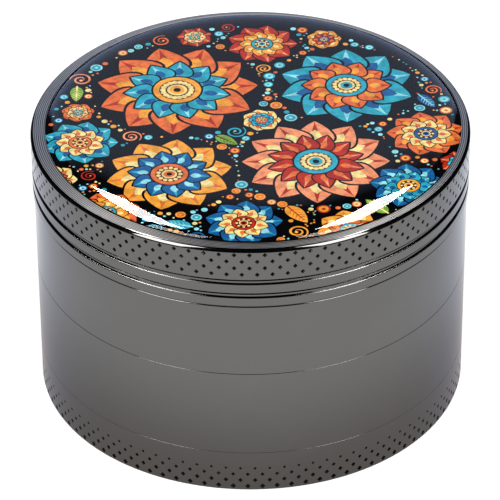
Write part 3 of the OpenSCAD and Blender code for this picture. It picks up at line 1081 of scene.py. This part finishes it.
class GRINDER_OT_dome(bpy.types.Operator):
    """Builds the clear resin dome, as a drop flattened by its own weight"""
    bl_idname = "grinder.dome"
    bl_label = "Resin dome"

    def execute(self, context):
        trim = context.scene.grinder_badge.trim / MM
        radius, low, high = box_mm("badge_dome")
        radius -= trim
        centre = sum(c.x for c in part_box("badge_dome")) / 2 / MM - trim
        edge_angle, least = math.radians(50), math.radians(0.02)
        flat_length = (high - low) / (2 * math.sin(edge_angle / 2))
        steps, columns = 60, 540

        def reach(a):
            """How far in the drop's surface slopes by a, give or take a constant."""
            return -flat_length * (math.log(math.tan(a / 4)) + 2 * math.cos(a / 2))

        profile, normals = [], []
        for i in range(steps + 1):
            a = edge_angle * (least / edge_angle) ** ((i / steps) ** 1.5)
            r = radius - (reach(a) - reach(edge_angle))
            if r < 0.5:
                break
            profile.append((r, high - 2 * flat_length * math.sin(a / 2)))
            normals.append((math.sin(a), math.cos(a)))
        profile.append((0.0, high))
        normals.append((0.0, 1.0))
        sheet = Sheet(FRONT)
        turns = sheet.angles(columns)
        cos, sin = np.cos(turns), np.sin(turns)
        # Surface tension leaves the edge a hundredth of a millimetre out of round.
        wander = -0.01 + 0.005 * np.sin(5 * turns + 0.4) + 0.005 * np.sin(13 * turns + 2.0)
        points = []
        for r, z in profile:
            own = r + wander * (r / radius) ** 12
            points.append(np.stack([own * cos + centre, own * sin, np.full(columns, z)], 1))
        directions = [np.stack([r * cos, r * sin, np.full(columns, z)], 1) for r, z in normals]
        grid(sheet, np.array(points), np.array(directions))
        made = sheet.make("badge_dome_resin", [finish_of(resin_poured)])
        set_in(made, "lid", "badge_dome")
        return {"FINISHED"}


# ----------------------------------------
# The stage
# ----------------------------------------

WHITE = (1, 1, 1, 1)
DARK_ROOM = (0.01, 0.01, 0.012, 1)


def in_mirrors(tree, path):
    """1 for what is seen in a mirror or through clear resin."""
    return add(tree, "Math", {
        0: path.outputs["Is Glossy Ray"], 1: path.outputs["Is Transmission Ray"],
    }, operation="MAXIMUM")


class GRINDER_OT_stage(bpy.types.Operator):
    """Sets the floor, the studio light and the camera"""
    bl_idname = "grinder.stage"
    bl_label = "Stage"

    def execute(self, context):
        self.floor()
        self.sky(context)
        for side in (-1, 1):
            # A long strip light overhead, on the left and the right. It only shows in mirrors.
            place = (side * 0.46 - 0.02, 0.23, 0.94)
            strip = self.lamp("strip light", place, (place[0], place[1], 0.0), (0.3, 0.74), 26.0,
                              (1.0, 0.99, 0.98))
            strip.visible_diffuse = False
            # Big soft boxes at the front left and front right, which light the object.
            self.lamp("soft box", (side * 0.46, -0.44, 0.52), (0.0, 0.0, 0.03), (0.34, 0.5), 7.0,
                      (1.0, 0.985, 0.955))
        self.camera(context)
        context.scene.view_settings.view_transform = "Standard"
        return {"FINISHED"}

    def floor(self):
        """A plain white sweep that shows white to the camera and in the metal, and keeps the
        object's shadow."""
        mesh = bpy.data.meshes.new("floor")
        size, z = 2.0, -0.00002
        mesh.from_pydata([(-size, -size, z), (size, -size, z), (size, size, z), (-size, size, z)],
                         [], [(0, 1, 2, 3)])
        paper, tree, mm = new_material("white paper sweep")
        path = add(tree, "LightPath")
        tone = add(tree, "TexNoise", {0: mm}, in_Scale=1 / 30.0)
        white = add(tree, "Mix", {0: tone}, data_type="RGBA",
                    in_6=linear("#bdbdbd"), in_7=linear("#bfbfbf"))
        matt = add(tree, "BsdfDiffuse", {"Color": white})
        glow = add(tree, "Emission", {"Strength": path.outputs["Is Camera Ray"]},
                   in_Color=(0.66, 0.66, 0.66, 1))
        plain = add(tree, "AddShader", {0: matt, 1: glow})
        # In the metal the floor is white too, with painted shade towards the grinder's foot, darker
        # and
        #         # warmer there. Behind the grinder it ends a hand's breadth away, but for the
        #         strip of paper that runs to the wall.
        radius = add(tree, "VectorMath", {0: mm}, operation="LENGTH")
        # Painted shade: a warm grey at the foot, rising to white by 66 mm from the axis.
        painted_foot_shade = add(tree, "MapRange", {0: radius}, interpolation_type="SMOOTHERSTEP",
                     in_1=24.0, in_2=66.0)
        painted_shade_tone = add(tree, "Mix", {0: painted_foot_shade}, data_type="RGBA",
                   in_6=(0.52, 0.485, 0.46, 1), in_7=(1.06, 1.06, 1.055, 1))
        parts = add(tree, "SeparateXYZ", {0: mm})
        aside = add(tree, "Math", {0: parts.outputs["X"]}, operation="ABSOLUTE")
        lit = add(tree, "MapRange", {0: parts.outputs["Y"]},
                  interpolation_type="SMOOTHSTEP", in_1=-10.0, in_2=-110.0)
        for away, start, end, strength in ((radius, 100.0, 155.0, 1.0), (aside, 45.0, 80.0, 0.7)):
            fades = add(tree, "MapRange", {0: away}, interpolation_type="SMOOTHSTEP",
                        in_1=start, in_2=end, in_3=strength, in_4=0.02)
            lit = add(tree, "Math", {0: lit, 1: fades}, operation="MAXIMUM")
        shown = add(tree, "Emission", {"Color": painted_shade_tone, "Strength": lit})
        both = add(tree, "MixShader", {0: in_mirrors(tree, path), 1: plain, 2: shown})
        add(tree, "OutputMaterial", {0: both})
        mesh.materials.append(paper)
        linked("floor", mesh)

    def sky(self, context):
        """White to the camera, dim and plain for lighting, and for mirrors a dark room with a pale
        wall beyond the object."""
        world = context.scene.world or bpy.data.worlds.new("studio")
        context.scene.world = world
        world.use_nodes = True
        tree = world.node_tree
        tree.nodes.clear()
        path = add(tree, "LightPath")
        way = add(tree, "TexCoord").outputs["Generated"]
        parts = add(tree, "SeparateXYZ", {0: way})
        y, z = parts.outputs["Y"], parts.outputs["Z"]
        height = add(tree, "MapRange", {0: z}, in_1=0.56, in_2=0.69, in_3=1.0, in_4=0.0)
        back = add(tree, "MapRange", {0: y}, in_1=0.3, in_2=0.75)
        aside = add(tree, "Math", {0: parts.outputs["X"]}, operation="ABSOLUTE")
        sides = add(tree, "MapRange", {0: aside}, in_1=0.45, in_2=0.51, in_3=1.0, in_4=0.0)
        wall = add(tree, "Math", {0: height, 1: back}, operation="MULTIPLY")
        wall = add(tree, "Math", {0: wall, 1: sides}, operation="MULTIPLY")
        rise = add(tree, "MapRange", {0: z}, in_1=0.1, in_2=0.45)
        pale = add(tree, "Mix", {0: rise}, data_type="RGBA",
                   in_6=(0.62, 0.78, 1.2, 1), in_7=(0.4, 0.46, 0.62, 1))
        # The sweep's far end shows as a pale line along the horizon, on the near side.
        far = add(tree, "MapRange", {0: z}, interpolation_type="SMOOTHSTEP",
                  in_1=0.03, in_2=0.08, in_3=1.0, in_4=0.0)
        near = add(tree, "MapRange", {0: y}, interpolation_type="SMOOTHSTEP",
                   in_1=0.0, in_2=0.2, in_3=1.0, in_4=0.0)
        line = add(tree, "Math", {0: far, 1: near}, operation="MULTIPLY")
        dim = add(tree, "Mix", {0: line}, data_type="RGBA", in_6=DARK_ROOM,
                  in_7=(0.8, 0.8, 0.8, 1))
        tone = add(tree, "Mix", {0: wall, 6: dim, 7: pale}, data_type="RGBA")
        plain = add(tree, "Background", in_Strength=0.55, in_Color=WHITE)
        seen = add(tree, "Background", {"Color": tone}, in_Strength=1.0)
        white = add(tree, "Background", in_Strength=1.0, in_Color=WHITE)
        first = add(tree, "MixShader", {0: in_mirrors(tree, path), 1: plain, 2: seen})
        second = add(tree, "MixShader", {0: path.outputs["Is Camera Ray"], 1: first, 2: white})
        add(tree, "OutputWorld", {0: second})

    def lamp(self, name, place, aim, size, radiance, tint):
        """An area lamp whose energy is the named radiance times pi times its area. A white mirror
        shows it at about 0.8 of that radiance."""
        data = bpy.data.lights.new(name, "AREA")
        data.shape = "RECTANGLE"
        data.size, data.size_y = size
        data.energy = radiance * math.pi * size[0] * size[1]
        data.color = tint
        made = linked(name, data)
        made.location = place
        made.rotation_mode = "QUATERNION"
        made.rotation_quaternion = (Vector(aim) - Vector(place)).to_track_quat("-Z", "Y")
        return made

    def camera(self, context):
        """A long lens, 35 degrees above the horizon, at the front."""
        data = bpy.data.cameras.new("camera")
        data.sensor_width, data.lens = 36.0, 255.85
        data.shift_x, data.shift_y = -0.0021, -0.02334
        data.clip_start, data.clip_end = 0.05, 20.0
        made = linked("camera", data)
        reach, rise, roll = 0.52026, 0.6065, -0.006
        back = Vector((0, -math.cos(rise), math.sin(rise)))
        made.location = Vector((0, 0, 0.022)) + back * reach
        aim = (-back).to_track_quat("-Z", "Y").to_matrix().to_4x4()
        made.rotation_mode = "QUATERNION"
        made.rotation_quaternion = (aim @ Matrix.Rotation(roll, 4, "Z")).to_quaternion()
        context.scene.camera = made


# ----------------------------------------
# Panel and registration
# ----------------------------------------

class GRINDER_PT_pieces(bpy.types.Panel):
    """Lists the steps that dress the grinder"""
    bl_idname = "GRINDER_PT_pieces"
    bl_label = "Herb grinder"
    bl_space_type = "VIEW_3D"
    bl_region_type = "UI"
    bl_category = "Grinder"

    def draw(self, context):
        for name in GROUPS:
            group = getattr(context.scene, name)
            box = self.layout.box()
            for key in group.__annotations__:
                box.prop(group, key)
        for step in STEPS:
            self.layout.operator(step.bl_idname)


GROUPS = {"grinder_walls": GRINDER_PG_walls, "grinder_badge": GRINDER_PG_badge,
          "grinder_finish": GRINDER_PG_finish}
STEPS = (GRINDER_OT_lid, GRINDER_OT_chamber, GRINDER_OT_sieve, GRINDER_OT_tray,
         GRINDER_OT_teeth, GRINDER_OT_fittings, GRINDER_OT_print, GRINDER_OT_dome,
         GRINDER_OT_stage)


def register():
    for name, group in GROUPS.items():
        bpy.utils.register_class(group)
        setattr(bpy.types.Scene, name, bpy.props.PointerProperty(type=group))
    for made in (*STEPS, GRINDER_PT_pieces):
        bpy.utils.register_class(made)


def unregister():
    for made in reversed((*STEPS, GRINDER_PT_pieces)):
        bpy.utils.unregister_class(made)
    for name, group in GROUPS.items():
        delattr(bpy.types.Scene, name)
        bpy.utils.unregister_class(group)


def main():
    register()
    for step in STEPS:
        family, name = step.bl_idname.split(".")
        getattr(getattr(bpy.ops, family), name)()


if __name__ == "__main__":
    main()
